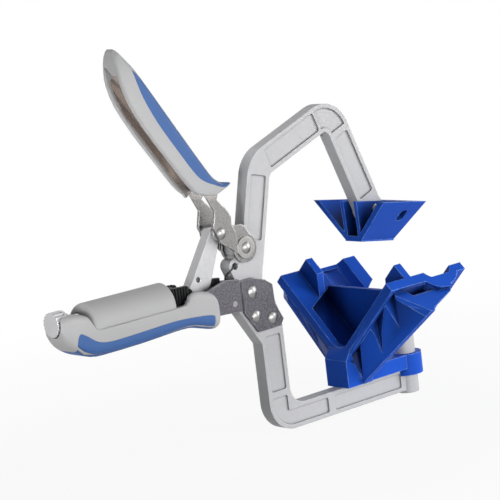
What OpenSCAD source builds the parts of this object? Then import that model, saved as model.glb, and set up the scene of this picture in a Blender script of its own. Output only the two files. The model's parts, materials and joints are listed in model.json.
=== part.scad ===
// Hand corner clamp: a locking toggle clamp whose swinging jaw presses a 90 degree
// wedge into the V of a corner block. Millimetres. +X runs along the block's V towards
// the jaw tips, +Y is along the pivots, +Z is the way the jaw opens.

/* [Arms] */
// Thickness of the two cast arms
arm_t = 9; // [8.5:0.25:9.5]
// Width of a cast arm across the limb
arm_w = 17.5; // [16.5:0.25:18]
// Width of the raised rim round each recessed panel
rim_w = 2.6; // [2:0.2:3.2]
// Depth of the recessed panels
panel_d = 1; // [0.4:0.1:1.2]

/* [Corner block] */
// Length of the block along its V
block_len = 66; // [65:0.5:66]
// Length of each wing from the bottom of the V
wing_len = 67.9; // [66:0.1:68]
// Wall thickness of the wings
wing_t = 5.5; // [4.5:0.25:6]
// Height of the stop ribs above the wing faces
stop_h = 11; // [8:0.5:12]
// How far the ridge's crest stands out behind the tip of a wing
ridge_h = 27.5; // [25:0.5:28]

/* [Wedge] */
// Half width of the wedge across its open top
wedge_half = 32; // [30:0.5:32]
// Half width of the flat on the wedge's nose
nose_half = 6.5; // [6:0.25:7]
// Wall thickness of the wedge
wedge_t = 3.5; // [3:0.25:4]

/* [Linkage] */
// Thickness of the steel sheet of handles and cheeks
sheet_t = 2; // [1.6:0.1:2.2]
// Thickness of the toggle link
link_t = 7; // [6:0.25:7]
// Radius of the main pivot
main_r = 3; // [2.6:0.1:3.2]
// Radius of the handle, link and wedge pins
pin_r = 2.5; // [2.2:0.1:2.6]

/* [Handles] */
// Half width of the lower grip
low_half = 13; // [12.5:0.25:13.5]
// Half width of the upper grip
up_half = 9.5; // [9.5:0.25:10.5]
// Radius of the pressure knob
knob_r = 7.2; // [6.6:0.2:7.4]

/* [Hidden] */
$fn = 64;
// Gap of a running fit, and gap between faces that pass each other
run = 0.05;
pass = 0.3;
// A small overlap that lets a cut break through a face, and one that joins two lengths
over = 1;
join = 0.05;

// Places in the X-Z plane with the jaw open
main_p = [2.5, 92.5];
handle_p = [1.5, 120];
link_p = [-17, 132];
foot_p = [-40, 96];
ear_p = [-6.5, 110];
anchor_p = [-14.5, 89];
rivet_p = [[3.5, 77.5], [16.3, 73.8]];
wedge_p = [111, 124];
// Corners of the upper arm's centre line, from the root to the wedge pin
arm_path = [[7, 109], [21.9, 166.4], [84.9, 190.1], wedge_p];
arm_bend = 13;

// The upper arm runs between the cheeks, the lower arm fills the space
jaw_t = arm_t - 0.4;
main_boss = 9.5;
ear_r = 4.4;

// Lower arm: the sole, the top of the reach, and the two edges of the riser
sole_z = 2;
reach_z = 16.8;
riser_in = 24.7;
riser_out = riser_in - arm_w;
post_x = 129;
post_r = 7.2;
post_top = 37.5;
hole_r = 3.6;

// Corner block: left end, the sharp bottom of the V and the way along a wing
block_x = 73.5;
vee_z = 37.2;
stop_x = [16, 21.5];
wall_x = [29, 32];
wall_top = 36;
scallop_x = [33, 55.5];
scallop_d = 7.2;
rim = [3, 6.5];
crest_foot = [6.8, 21.2];
crest_tip = [17, ridge_h];
well_d = 7.5;
floor_t = 2.5;
notch_in = 8;
base_half = 9.7;
base_x = [-4.9, 16];
lug_z = 12.2;
lug_r = post_r + 3.8;
lug_top = 26;

// Body channel: half width outside, and where it is set in to grip the arms
chan_half = 10;
chan_z = 84.5;
seam_z = 96.6;
screw_z = 103;
screw_r = 3;

// Upper handle: direction of the grip, measured from the handle pin
handle_turn = -124.5;
cheek_in = jaw_t / 2 + 0.15;
neck_in = 6;

function unit(v) = v / norm(v);
function half_angle(a, c, b) = acos(unit(a - c) * unit(b - c)) / 2;
function tangent(a, c, b, r) = r / tan(half_angle(a, c, b));

// Extrudes an X-Z outline to thickness t about the plane Y = y
module plate(t, y = 0) {
    translate([0, y, 0])
        rotate([90, 0, 0])
            linear_extrude(height = t, center = true)
                children();
}

// A pair of plates of thickness t whose inner faces lie at plus and minus gap
module plate_pair(t, gap) {
    for (side = [-1, 1])
        plate(t, side * (gap + t / 2))
            children();
}

// Cuts an X-Z outline to depth d into both faces of a part of thickness t
module face_cuts(t, d) {
    for (side = [-1, 1])
        plate(2 * d, side * t / 2)
            children();
}

module spot(p, r) {
    translate(p)
        circle(r);
}

// A straight bar of width w from a to b
module bar(a, b, w) {
    d = b - a;
    translate(a)
        rotate(atan2(d.y, d.x))
            translate([0, -w / 2])
                square([norm(d), w]);
}

// The same with corners rounded to radius r
module soft_bar(a, b, w, r) {
    d = b - a;
    translate(a)
        rotate(atan2(d.y, d.x)) {
            translate([r, -w / 2])
                square([norm(d) - 2 * r, w]);
            translate([0, -w / 2 + r])
                square([norm(d), w - 2 * r]);
            for (x = [r, norm(d) - r], y = [-w / 2 + r, w / 2 - r])
                spot([x, y], r);
        }
}

// The bend at c on the way from a to b, with centre-line radius r and width w
module bend(a, c, b, r, w) {
    u = unit(a - c);
    v = unit(b - c);
    centre = c + unit(u + v) * r / sin(half_angle(a, c, b));
    reach = tangent(a, c, b, r);
    intersection() {
        difference() {
            spot(centre, r + w / 2);
            spot(centre, r - w / 2);
        }
        polygon([centre, centre + 3 * (c + u * reach - centre), centre + 3 * (c - centre),
            centre + 3 * (c + v * reach - centre)]);
    }
}

// A round pin along Y through p, with domed heads outside plus and minus reach
module rivet(p, r, reach, head_r, head_h) {
    cap = (head_r * head_r + head_h * head_h) / (2 * head_h);
    translate([p.x, 0, p.y])
        rotate([90, 0, 0])
            rotate_extrude() {
                translate([0, -reach - 0.01])
                    square([r, 2 * reach + 0.02]);
                for (end = [0, 1])
                    mirror([0, end])
                        intersection() {
                            translate([0, reach + head_h - cap])
                                circle(cap);
                            translate([0, reach])
                                square([head_r, head_h]);
                        }
            }
}

// A cylinder along Y through p, as a pin or as a drill
module cross_pin(p, r, length) {
    translate([p.x, 0, p.y])
        rotate([90, 0, 0])
            cylinder(r = r, h = length, center = true);
}

// A cylinder along X from x0 to x1 at height z
module long_pin(x0, x1, z, r) {
    translate([x0, 0, z])
        rotate([0, 90, 0])
            cylinder(r = r, h = x1 - x0);
}

// A round bar of radius r swept along a list of points
module swept(points, r, sides = 8) {
    last = len(points) - 1;
    skin([for (i = [0 : last])
        let (t = unit(points[min(i + 1, last)] - points[max(i - 1, 0)]),
            side = unit(cross(t, abs(t.x) < 0.9 ? [1, 0, 0] : [0, 1, 0])),
            up = cross(t, side))
        [for (k = [0 : sides - 1])
            points[i] + r * (cos(360 * k / sides) * side + sin(360 * k / sides) * up)]]);
}

// Points of a coil along +Z
function coil(r, turns, length, steps = 14) = [for (i = [0 : turns * steps])
    [r * cos(360 * i / steps), r * sin(360 * i / steps), length * i / (turns * steps)]];

// A smooth curve through a list of points or rows, with n steps between neighbours
function step_between(a, b, c, d, t) = 0.5 * (2 * b + (c - a) * t + (2 * a - 5 * b + 4 * c - d) * t * t
    + (3 * b - a - 3 * c + d) * t * t * t);
function smooth(rows, n) = let (last = len(rows) - 1)
    concat([for (i = [0 : last - 1], k = [0 : n - 1])
        step_between(rows[max(i - 1, 0)], rows[i], rows[i + 1], rows[min(i + 2, last)], k / n)], [rows[last]]);

// A closed skin over rings that all have the same number of points
module skin(rings) {
    last = len(rings) - 1;
    n = len(rings[0]);
    sides = [for (i = [0 : last - 1], k = [0 : n - 1], half = [0, 1])
        half == 0 ? [i * n + k, (i + 1) * n + k, (i + 1) * n + (k + 1) % n]
            : [i * n + k, (i + 1) * n + (k + 1) % n, i * n + (k + 1) % n]];
    ends = [[for (k = [0 : n - 1]) k], [for (k = [n - 1 : -1 : 0]) last * n + k]];
    polyhedron([for (ring = rings) each ring], concat(sides, ends));
}

// A ring across X for the row [x, low z, high z, half width, low edge radius, high edge radius]
function grip_ring(row, steps = 5) = [for (corner = [0 : 3], k = [0 : steps])
    let (low = corner == 0 || corner == 3,
        r = low ? row[4] : row[5],
        side = corner < 2 ? 1 : -1,
        a = -90 + 90 * corner + 90 * k / steps)
    [row[0], side * (row[3] - r) + r * cos(a), (low ? row[1] + r : row[2] - r) + r * sin(a)]];

// A moulded grip through a list of such rows
module grip_body(rows) {
    skin([for (row = smooth(rows, 2)) grip_ring(row)]);
}

// Lower arm: riser, reach, post and the root that the cheeks grip

heel_r = 19;
heel_fillet = 11;

// The corner that the rounded heel cuts off, larger where it is set in by a rim
module heel_corner(inset) {
    difference() {
        translate([riser_out - over, sole_z - over])
            square(heel_r + over);
        spot([riser_out + heel_r, sole_z + heel_r], heel_r - inset);
    }
}

module lower_arm_outline() {
    difference() {
        union() {
            translate([riser_out, sole_z])
                square([arm_w, 64]);
            translate([riser_out, sole_z])
                square([post_x - riser_out, reach_z - sole_z]);
            difference() {
                translate([riser_in, reach_z])
                    square(heel_fillet);
                spot([riser_in + heel_fillet, reach_z + heel_fillet], heel_fillet);
            }
            polygon([[riser_out, 59], [riser_in, 59], [riser_in, 73], [19, 90], [-7.5, 90], [-7.5, 82]]);
        }
        spot(main_p, main_boss + 0.8);
        heel_corner(0);
    }
}

module lower_arm_panels() {
    mid_x = (riser_in + riser_out) / 2;
    mid_z = (reach_z + sole_z) / 2;
    inner_w = arm_w - 2 * rim_w;
    reach_w = reach_z - sole_z - 2 * rim_w;
    soft_bar([mid_x, 28], [mid_x, 63], inner_w, 1.5);
    soft_bar([60, mid_z], [post_x - post_r - rim_w, mid_z], reach_w, 1.5);
    // The panel in the corner follows the heel
    difference() {
        union() {
            soft_bar([riser_out + rim_w, mid_z], [55, mid_z], reach_w, 1.5);
            soft_bar([mid_x, sole_z + rim_w], [mid_x, 24], inner_w, 1.5);
        }
        heel_corner(rim_w);
    }
}

module lower_arm() {
    color("silver")
        difference() {
            union() {
                plate(arm_t)
                    lower_arm_outline();
                translate([post_x, 0, 0])
                    cylinder(r = post_r, h = post_top);
            }
            face_cuts(arm_t, panel_d)
                lower_arm_panels();
            translate([post_x, 0, -over])
                cylinder(r = hole_r, h = post_top + 2 * over);
            for (p = rivet_p)
                cross_pin(p, pin_r + 0.02, arm_t + over);
        }
}

// Body: pressed steel channel whose cheeks are set in to grip the arms

module cheek_outline() {
    polygon([[-5, 101], [4, 101], [13.4, 98], [19, 94], [19.4, 82], [24.7, 71.5], [22, 67.7],
        [4.5, 67.3], [-5, 81]]);
}

module channel_outline() {
    polygon([[-126, chan_z], [-26, chan_z], [-9.5, 83.5], [-9.5, 103], [-19, 104.3], [-33, 101],
        [-52, seam_z], [-126, seam_z]]);
}

module body_channel() {
    inner = arm_t / 2;
    color("dimgray")
        difference() {
            union() {
                plate_pair(sheet_t, inner)
                    cheek_outline();
                plate_pair(sheet_t, chan_half - sheet_t)
                    channel_outline();
                for (side = [0, 1])
                    mirror([0, side, 0])
                        translate([0, 0, 83])
                            linear_extrude(height = 18)
                                polygon([[-9.6, chan_half - sheet_t], [-9.6, chan_half],
                                    [-4.9, inner + sheet_t], [-4.9, inner]]);
                translate([-126, -chan_half, chan_z])
                    cube([100, 2 * chan_half, sheet_t]);
            }
            cross_pin(main_p, main_r + 0.02, 4 * chan_half);
            for (p = rivet_p)
                cross_pin(p, pin_r + 0.02, 4 * chan_half);
            cross_pin(anchor_p, 1.52, 4 * chan_half);
        }
}

module arm_rivets() {
    color("gainsboro")
        for (p = rivet_p)
            rivet(p, pin_r, arm_t / 2 + sheet_t, 3.8, 1.4);
}

module main_pivot_pin() {
    color("gainsboro")
        rivet(main_p, main_r, arm_t / 2 + sheet_t, 4, 1.4);
}

// Lower grip, its soft inlay and the cover over the pressure screw

low_rows = [
    [-139.6, 98.5, 105, 6.6, 3, 3],
    [-138, 93.6, 106.6, 9.2, 4.4, 3.4],
    [-134, 88.2, 107.4, 11.4, 5.6, 3.6],
    [-128, 84, 107.2, 12.6, 6, 3.4],
    [-122.5, 81.7, 105, low_half, 6, 3],
    [-119.5, 81.1, 99.5, low_half, 6, 1.5],
    [-114, 80.6, seam_z, low_half, 6, 1],
    [-86, 80.9, seam_z, low_half, 6, 1],
    [-62, 82.1, seam_z, low_half, 6, 1],
    [-53, 82.2, 96.9, low_half, 6, 1],
    [-50, 82, 100.6, low_half, 6, 2],
    [-46, 81.3, 102.6, low_half, 6, 3],
    [-38, 79, 101.8, low_half, 6, 3.5],
    [-32, 77.6, 99.5, low_half - 0.2, 6, 4],
    [-29, 78.6, 96.5, low_half - 0.8, 5.5, 4],
    [-28, 80.5, 94, low_half - 2, 4.5, 4]];

// The soft inlay fills the underside below this line
low_inlay_line = [[-131.6, 86], [-131.8, 92], [-129.6, 96.6], [-125.6, 94.8], [-118.6, 90], [-108.8, 88.2],
    [-88, 88.6], [-64.5, 89.4], [-48, 88.6], [-34.6, 86.8], [-33.2, 84], [-34, 78]];

module low_inlay_region() {
    plate(4 * low_half)
        polygon(concat(smooth(low_inlay_line, 3), [[-34, 70], [-130, 70]]));
}

module low_inlay_core() {
    plate(2 * low_half - 3.2)
        polygon([[-150, 70], [-150, 110], [-20, 110], [-20, 82], [-35, 79.4], [-48, 83.2], [-56, 84],
            [-117, 82.6], [-127, 84], [-135, 91]]);
}

module lower_grip() {
    color("lightgray")
        difference() {
            grip_body(low_rows);
            translate([-126, -chan_half, chan_z])
                cube([120, 2 * chan_half, 40]);
            difference() {
                low_inlay_region();
                low_inlay_core();
            }
            cover_form(0);
            // Room for the knob, the screw and the slot that shows it
            long_pin(-150, knob_end + pass, screw_z, knob_r + 0.5);
            long_pin(-150, -120, screw_z, screw_r + 0.6);
            translate([-131.5, -3, screw_z])
                cube([11, 6, 20]);
        }
}

module lower_grip_inlay() {
    color("royalblue")
        difference() {
            intersection() {
                grip_body(low_rows);
                low_inlay_region();
            }
            low_inlay_core();
        }
}

cover_x = [-121, -61];
cover_wall = 2.2;
cover_axis_z = 98;

// The cover's outside, or its inside where it is set in by a wall
module cover_form(inset) {
    r = low_half - inset;
    shoulder = 5 - inset;
    intersection() {
        translate([cover_x[0] + inset, 0, cover_axis_z])
            rotate([0, 90, 0])
                rotate_extrude() {
                    square([r - shoulder, cover_x[1] - cover_x[0]]);
                    translate([0, shoulder])
                        square([r, cover_x[1] - cover_x[0] - shoulder]);
                    translate([r - shoulder, shoulder])
                        circle(shoulder);
                }
        translate([cover_x[0] - over, -2 * low_half, seam_z - (inset > 0 ? over : 0)])
            cube([100, 4 * low_half, 40]);
    }
}

module mechanism_cover() {
    color("lightgray")
        difference() {
            cover_form(0);
            cover_form(cover_wall);
            long_pin(cover_x[0] - over, cover_x[0] + cover_wall + over, screw_z, screw_r + 0.6);
        }
}

// Inside the body: the slide that guides the link's foot, and the pressure screw

slide_x = [-58, -36];

module slide_block() {
    fork = link_t / 2 + pass;
    half = chan_half - sheet_t - pass;
    slot = [[-50.8, foot_p.y - 0.18], [-39.6, foot_p.y - 0.18]];
    color("#202226")
        difference() {
            plate(2 * half)
                polygon([[slide_x[0], 88], [slide_x[1], 88], [slide_x[1], 99], [-41, 100.5], [-44, 103.6],
                    [-47, 106.6], [slide_x[0], 107]]);
            plate(2 * fork)
                polygon([[-55.4, 80], [-30, 80], [-30, 120], [-50, 120], [-55.4, 101]]);
            plate(4 * half) {
                bar(slot[0], slot[1], 5.2);
                spot(slot[0], 2.6);
                spot(slot[1], 2.6);
            }
        }
}

module spring_anchor_pin() {
    color("gainsboro")
        cross_pin(anchor_p, 1.5, 2 * chan_half);
}

// A tension spring from the jaw's ear to the pin in the channel
module return_spring() {
    wire = 0.45;
    coil_r = 2.6;
    start = anchor_p + [0, 2.1];
    finish = [ear_p.x - 5.2, ear_p.y - 4.6];
    span = norm(finish - start);
    lean = atan2(finish.x - start.x, finish.y - start.y);
    coil_len = span - 7;
    color("#303236")
        translate([start.x, 0, start.y])
            rotate([0, lean, 0])
                swept(concat([[0, 0, 0], [0, 0, 2.4]],
                    [for (p = coil(coil_r, 7, coil_len)) p + [0, 0, 3.5]],
                    [[0, 0, span - 2.4], [0, 0, span]]), wire, 6);
}

module pressure_screw() {
    color("slategray")
        long_pin(knob_end - 2, slide_x[0] - pass, screw_z, screw_r);
}

knob_end = -132;

module pressure_knob() {
    grooves = 18;
    length = knob_end + 140;
    color("gainsboro")
        translate([-140, 0, screw_z])
            rotate([0, 90, 0])
                difference() {
                    cylinder(r = knob_r, h = length);
                    translate([0, 0, length - 2])
                        cylinder(r = screw_r + 0.02, h = 3);
                    for (i = [0 : grooves - 1])
                        rotate(360 * i / grooves)
                            translate([knob_r + 0.5, 0, -over])
                                cylinder(r = 1, h = length - 1.5 + over);
                }
}

nut_x = [-112, -106];
nut_travel = 3.75;

module pressure_nut() {
    color("darkgray")
        difference() {
            long_pin(nut_x[0], nut_x[1], screw_z, 5.4);
            long_pin(nut_x[0] - over, nut_x[1] + over, screw_z, screw_r + run);
        }
}

module pressure_spring() {
    wire = 0.9;
    start = nut_x[1] + nut_travel + wire + pass;
    gap = slide_x[0] - wire - 0.1 - start;
    color("#202226")
        translate([start, 0, screw_z])
            rotate([0, 90, 0])
                swept(coil(4.5, 10, gap), wire, 8);
}

// Corner block: two wings at right angles, each a thin face backed by a notched ridge

// Puts a wing's own frame (along the block, along the wing, outwards) in place
module wing_frame() {
    translate([block_x, 0, vee_z])
        rotate([135, 0, 0])
            children();
}

// Extrudes an outline across the wing from s0 to s1
module across(s0, s1) {
    translate([0, s1, 0])
        rotate([90, 0, 0])
            linear_extrude(height = s1 - s0)
                children();
}

// Section of a wing's face: a flat plate dished by the scallop
module wing_section() {
    span = (scallop_x[1] - scallop_x[0]) / 2;
    scallop_r = (span * span + scallop_d * scallop_d) / (2 * scallop_d);
    centre = [(scallop_x[0] + scallop_x[1]) / 2, scallop_d - scallop_r];
    difference() {
        union() {
            square([block_len, wing_t]);
            intersection() {
                spot(centre, scallop_r + wing_t);
                translate([scallop_x[0] - 6, 0])
                    square([2 * span + 12, 40]);
            }
        }
        spot(centre, scallop_r);
    }
}

// The crest runs outwards as it climbs the wing
foot_s = -8;
function crest(s) = crest_foot + (crest_tip - crest_foot) * (s - foot_s) / (wing_len - foot_s);

// The wall behind the left edge: from the rim out to the crest and back to the face
function flank_ring(s) = let (c = crest(s))
    [[0, s, 0.5], [0, s, rim.y], [rim.x, s, rim.y], [c.x, s, c.y], [c.x + 3, s, c.y + 0.4],
        [c.x + 4.5, s, c.y - 2], [11.5, s, 0.5]];

// A notch in the left flank: wide under the rim, closing to a point just short of the crest
module flank_notch(s0, s1, crest_s) {
    mid = (s0 + s1) / 2;
    tip = rim + 0.93 * (crest(crest_s) - rim);
    polyhedron(
        points = [[1, s0, rim.y], [1, s1, rim.y], [tip.x, crest_s, tip.y], [notch_in, mid, rim.y], [-2, mid, 14]],
        faces = [[3, 1, 0], [3, 2, 1], [3, 0, 2], [4, 0, 1], [4, 1, 2], [4, 2, 0]]);
}

// The well beside the stop wall: its outline on the wing and its section across it
module well() {
    intersection() {
        linear_extrude(height = 60, center = true)
            polygon([[5, -30], [5, 38], [wall_x[0], 50], [wall_x[0], -30]]);
        across(-40, 60)
            polygon([[5, -20], [5, 1], [10.5, 6], [11.5, well_d], [wall_x[0], well_d], [wall_x[0], -20]]);
    }
}

module wing() {
    low = -25;
    tip_t = 3;
    difference() {
        union() {
            difference() {
                across(low, wing_len)
                    wing_section();
                // Right of the stop wall only the end of the wing is left
                linear_extrude(height = 120, center = true)
                    polygon([[wall_x[1] - 1, -60], [wall_x[1] - 1, 23], [block_len + over, 47], [block_len + over, -60]]);
            }
            skin([flank_ring(low), flank_ring(wing_len)]);
            across(low, 54)
                polygon([[8, 1], [8, 7], [11.5, well_d + floor_t], [wall_x[1], well_d + floor_t], [wall_x[1], 1]]);
            across(wing_len - tip_t, wing_len)
                polygon([rim + [3, -1], crest_tip + [1.2, -1.6], crest_tip + [4, -1.8], [45, 16.5],
                    [52, wing_t - 1], [10, wing_t - 1]]);
            // Webs between the flank and the face
            for (at = [[19, 33], [42, 36]])
                across(at[0] - 1.25, at[0] + 1.25)
                    polygon([[rim.x + 4, wing_t - 1], crest(at[0]) + [2, -4], crest(at[0]) + [3, -5],
                        [at[1], wing_t - 1]]);
            // Stop rib
            translate([stop_x[0], 0, 0])
                rotate([90, 0, 90])
                    linear_extrude(height = stop_x[1] - stop_x[0])
                        polygon([[43, 1], [55, -stop_h], [wing_len, -stop_h], [wing_len, 1]]);
        }
        well();
        for (at = [[3, 14, -4], [23, 37, 17], [45, 59, 38]])
            flank_notch(at[0], at[1], at[2]);
    }
}

// Keeps the front half of the block, from the top of the arm upwards
module front_half() {
    intersection() {
        children();
        translate([block_x - over, -100, reach_z])
            cube([block_len + 2 * over, 100.5, 120]);
    }
}

// The base under the V stands out to the left and slopes up to the V's bottom
module base_outline() {
    sole = reach_z - vee_z;
    translate([block_x, vee_z])
        polygon([[base_x[0], sole], [base_x[0], -3], [-0.2, 4], [0.6, 4], [0.6, -2], [base_x[1], -2],
            [base_x[1], sole]]);
}

module corner_block() {
    round_r = 12.6;
    round_z = 17;
    wall_root = 12.6;
    color("mediumblue")
        difference() {
            union() {
                for (side = [0, 1])
                    mirror([0, side, 0])
                        front_half()
                            wing_frame()
                                wing();
                // Stop wall across the V, and the rounded bottom of the V at its left edge
                translate([block_x, 0, vee_z])
                    rotate([90, 0, 90]) {
                        translate([0, 0, wall_x[0] - 0.3])
                            linear_extrude(height = wall_x[1] - wall_x[0])
                                polygon([[0, -wall_root], [wall_top + wall_root, wall_top],
                                    [-wall_top - wall_root, wall_top]]);
                        linear_extrude(height = 4.6)
                            difference() {
                                polygon([[0, -1], [9.5, 8.5], [-9.5, 8.5]]);
                                spot([0, round_z], round_r);
                            }
                    }
                plate(2 * base_half)
                    base_outline();
                // The lug round the post and the web that carries it
                translate([block_x + 8, -base_half + 1.2, reach_z])
                    cube([post_x - block_x - 8, 2 * base_half - 2.4, lug_top - reach_z]);
                translate([post_x, 0, lug_z])
                    cylinder(r = lug_r, h = lug_top - lug_z);
            }
            translate([block_x + base_x[0] - over, -arm_t / 2 - 0.02, lug_z - over])
                cube([post_x - block_x - base_x[0], arm_t + 0.04, reach_z - lug_z + over]);
            translate([post_x, 0, lug_z - over])
                cylinder(r = post_r + 0.02, h = 60);
        }
}

// Upper arm: three limbs, the root between the cheeks and the ear for the return spring

module arm_limbs(w) {
    last = len(arm_path) - 1;
    for (i = [0 : last - 1]) {
        way = unit(arm_path[i + 1] - arm_path[i]);
        head = i == 0 ? 0 : tangent(arm_path[i - 1], arm_path[i], arm_path[i + 1], arm_bend);
        tail = i == last - 1 ? 0 : tangent(arm_path[i], arm_path[i + 1], arm_path[i + 2], arm_bend);
        bar(arm_path[i] + way * (head - join), arm_path[i + 1] - way * (tail - join), w);
    }
    for (i = [1 : last - 1])
        bend(arm_path[i - 1], arm_path[i], arm_path[i + 1], arm_bend, w);
}

module upper_arm_outline() {
    arm_limbs(arm_w);
    spot(wedge_p, 9.3);
    spot(main_p, main_boss);
    spot(handle_p, 8);
    spot(ear_p, ear_r);
    polygon([[main_p.x - 9.2, main_p.y + 2], [main_p.x + 9.2, main_p.y - 2], [14.6, 104], [15.6, 108],
        [18, 118], [3, 128], [-5.6, 116], [-6.5, 114.3], [-10.6, 108.5], [-8, 102]]);
}

// A panel along a limb, from the share f0 to the share f1 of its length
module limb_panel(i, f0, f1) {
    way = arm_path[i + 1] - arm_path[i];
    soft_bar(arm_path[i] + way * f0, arm_path[i] + way * f1, arm_w - 2 * rim_w, 1.5);
}

module upper_arm() {
    color("silver")
        difference() {
            plate(jaw_t)
                upper_arm_outline();
            face_cuts(jaw_t, panel_d) {
                limb_panel(0, 0.24, 0.9);
                limb_panel(1, 0.11, 0.79);
                bend(arm_path[1], arm_path[2], arm_path[3], arm_bend, arm_w - 2 * rim_w);
                limb_panel(2, 0.24, 0.86);
            }
            cross_pin(main_p, main_r + run, 2 * arm_t);
            cross_pin(handle_p, pin_r + run, 2 * arm_t);
            cross_pin(ear_p, 2.2, 2 * arm_t);
            cross_pin(wedge_p, pin_r + 0.02, 2 * arm_t);
        }
}

module wedge_pin() {
    color("gainsboro")
        cross_pin(wedge_p, pin_r, 14.4);
}

// Wedge: a hollow 90 degree nose that swivels on the end of the upper arm

wedge_tilt = 9;
wedge_drop = 21;
wedge_rise = wedge_half - nose_half;

module wedge_side() {
    polygon([[-12, 0], [16, 0], [20.5, wedge_rise], [-17, wedge_rise]]);
}

module wedge_end(inset) {
    top = wedge_half - inset * sqrt(2);
    foot = nose_half - inset * 0.4142;
    polygon([[-foot, inset], [foot, inset], [top + inset, wedge_rise + inset], [-top - inset, wedge_rise + inset]]);
}

module wedge_head() {
    slot = jaw_t / 2 + pass;
    web = 2.8;
    access_r = 2.8;
    access = 2;
    color("mediumblue")
        translate([wedge_p.x, 0, wedge_p.y])
            rotate([0, wedge_tilt, 0])
                translate([0, 0, -wedge_drop])
                    difference() {
                        union() {
                            difference() {
                                intersection() {
                                    plate(4 * wedge_half)
                                        wedge_side();
                                    rotate([90, 0, 90])
                                        linear_extrude(height = 60, center = true)
                                            wedge_end(0);
                                }
                                translate([-60, 0, 0])
                                    rotate([90, 0, 90])
                                        linear_extrude(height = 60 + 13)
                                            wedge_end(wedge_t);
                            }
                            intersection() {
                                plate(2 * (slot + web))
                                    wedge_side();
                                plate(2 * (slot + web))
                                    polygon([[-17, 0], [18, 0], [18, wedge_rise], [-17, wedge_rise]]);
                            }
                        }
                        plate(2 * slot)
                            polygon([[-30, wedge_t], [13, wedge_t], [13, 60], [-30, 60]]);
                        translate([0, 0, wedge_drop])
                            rotate([90, 0, 0])
                                cylinder(r = pin_r + run, h = 40, center = true);
                        // Access slots through both faces
                        for (side = [0, 1])
                            mirror([0, side, 0])
                                translate([7.5, -nose_half - 16.5, 16.5])
                                    rotate([-45, 0, 0])
                                        linear_extrude(height = 14, center = true) {
                                            bar([0, -access], [0, access], 2 * access_r);
                                            spot([0, -access], access_r);
                                            spot([0, access], access_r);
                                        }
                    }
}

// Upper handle: bright steel channel, its cheeks set in at the handle pin

// Puts a shape drawn along the handle, with the palm side down, in place
module handle_frame() {
    translate([handle_p.x, 0, handle_p.y])
        rotate([0, handle_turn, 0])
            children();
}

module neck_outline() {
    polygon([[-24.5, 155], [-33, 166], [-22, 170], [-15, 158.5], [-17.2, 152.3], [-10, 144.6], [-8, 140.8],
        [-8.2, 136], [-6, 131.5], [-7.6, 119.5], [-18, 127], [-22.2, 136], [-19.8, 146]]);
}

module tip_outline() {
    spot(handle_p, 9);
    polygon([[-8.2, 134.5], [0.5, 134.5], [3, 132.8], [6, 127.6], [9.2, 124.5], [handle_p.x, handle_p.y],
        [-3, 112.2], [-7.8, 119.3]]);
}

module joggle_outline() {
    polygon([[-8.2, 136], [-6, 131.5], [-5.6, 131.5], [-5.4, 117.6], [-7.8, 119.3]]);
}

up_rows = [
    [36.4, -18.3, -15.2, up_half - 2, 1.5, 1.5],
    [37.6, -17.4, -10.4, up_half - 1.2, 2.4, 2.2],
    [40, -14.2, -3.6, up_half - 0.5, 3.4, 2],
    [44, -11.9, 0.6, up_half - 0.1, 4, 1.6],
    [49, -10.7, 4.7, up_half, 4.5, 1.3],
    [58, -10.5, 6.4, up_half, 4.5, 1.2],
    [75, -10.7, 6.6, up_half, 4.5, 1.2],
    [92, -11, 6.8, up_half, 4.5, 1.2],
    [106, -11.3, 6.5, up_half, 4.5, 1.2],
    [120, -11.6, 5.2, up_half, 4.5, 1.2],
    [132, -11.7, 1.9, up_half - 0.4, 4.3, 1.3],
    [140, -11.4, -2, up_half - 1.6, 3.8, 1.5],
    [146, -10.9, -5.8, up_half - 3.6, 2.2, 1.6],
    [149, -10.4, -8.3, up_half - 6, 1, 1],
    [149.8, -9.9, -9.1, up_half - 7.5, 0.4, 0.4]];
palm_in = -8.4;

module channel_side() {
    polygon([[46, palm_in], [46, 4.8], [112, 4.8], [126, 1.8], [134, -1.4], [135, palm_in]]);
}

module handle_channel() {
    color("#b9bdc2")
        difference() {
            union() {
                plate_pair(sheet_t, neck_in)
                    neck_outline();
                plate_pair(sheet_t, cheek_in)
                    tip_outline();
                plate_pair(neck_in + sheet_t - cheek_in, cheek_in)
                    joggle_outline();
                handle_frame()
                    difference() {
                        plate(2 * (neck_in + sheet_t))
                            channel_side();
                        plate(2 * neck_in)
                            polygon([[40, palm_in + sheet_t], [40, 20], [150, 20], [150, palm_in + sheet_t]]);
                    }
            }
            cross_pin(handle_p, pin_r + 0.02, 60);
            cross_pin(link_p, pin_r + 0.02, 60);
        }
}

// The soft inlay covers the palm side up to this line
up_inlay_line = [[37, -19], [37.8, -13.6], [40.4, -10.4], [45.5, -7], [53, -2.6], [62, -0.9], [80, -0.8], [100, -1.2],
    [118, -3.4], [130, -7], [138, -10.4], [142, -13]];

module up_inlay_region() {
    plate(4 * up_half)
        polygon(concat([[37, -30]], smooth(up_inlay_line, 3), [[142, -30]]));
}

module up_inlay_core() {
    plate(2 * up_half - 2)
        polygon([[30, 20], [30, -15.8], [40, -12.6], [46, -10], [54, -9.4], [140, -10.2], [150, 20]]);
}

// Room for the channel inside the grip, and the mouth between its lips
module channel_room() {
    handle_frame() {
        plate(2 * (neck_in + sheet_t)) {
            channel_side();
            polygon([[20, palm_in], [20, 20], [46, 20], [46, palm_in]]);
        }
        plate(2 * (neck_in - 0.4))
            polygon([[20, palm_in + sheet_t], [20, 20], [138, 20], [142, -4]]);
    }
    plate(2 * (neck_in + sheet_t))
        neck_outline();
}

module upper_grip() {
    color("lightgray")
        difference() {
            handle_frame()
                difference() {
                    grip_body(up_rows);
                    difference() {
                        up_inlay_region();
                        up_inlay_core();
                    }
                }
            channel_room();
        }
}

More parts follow.
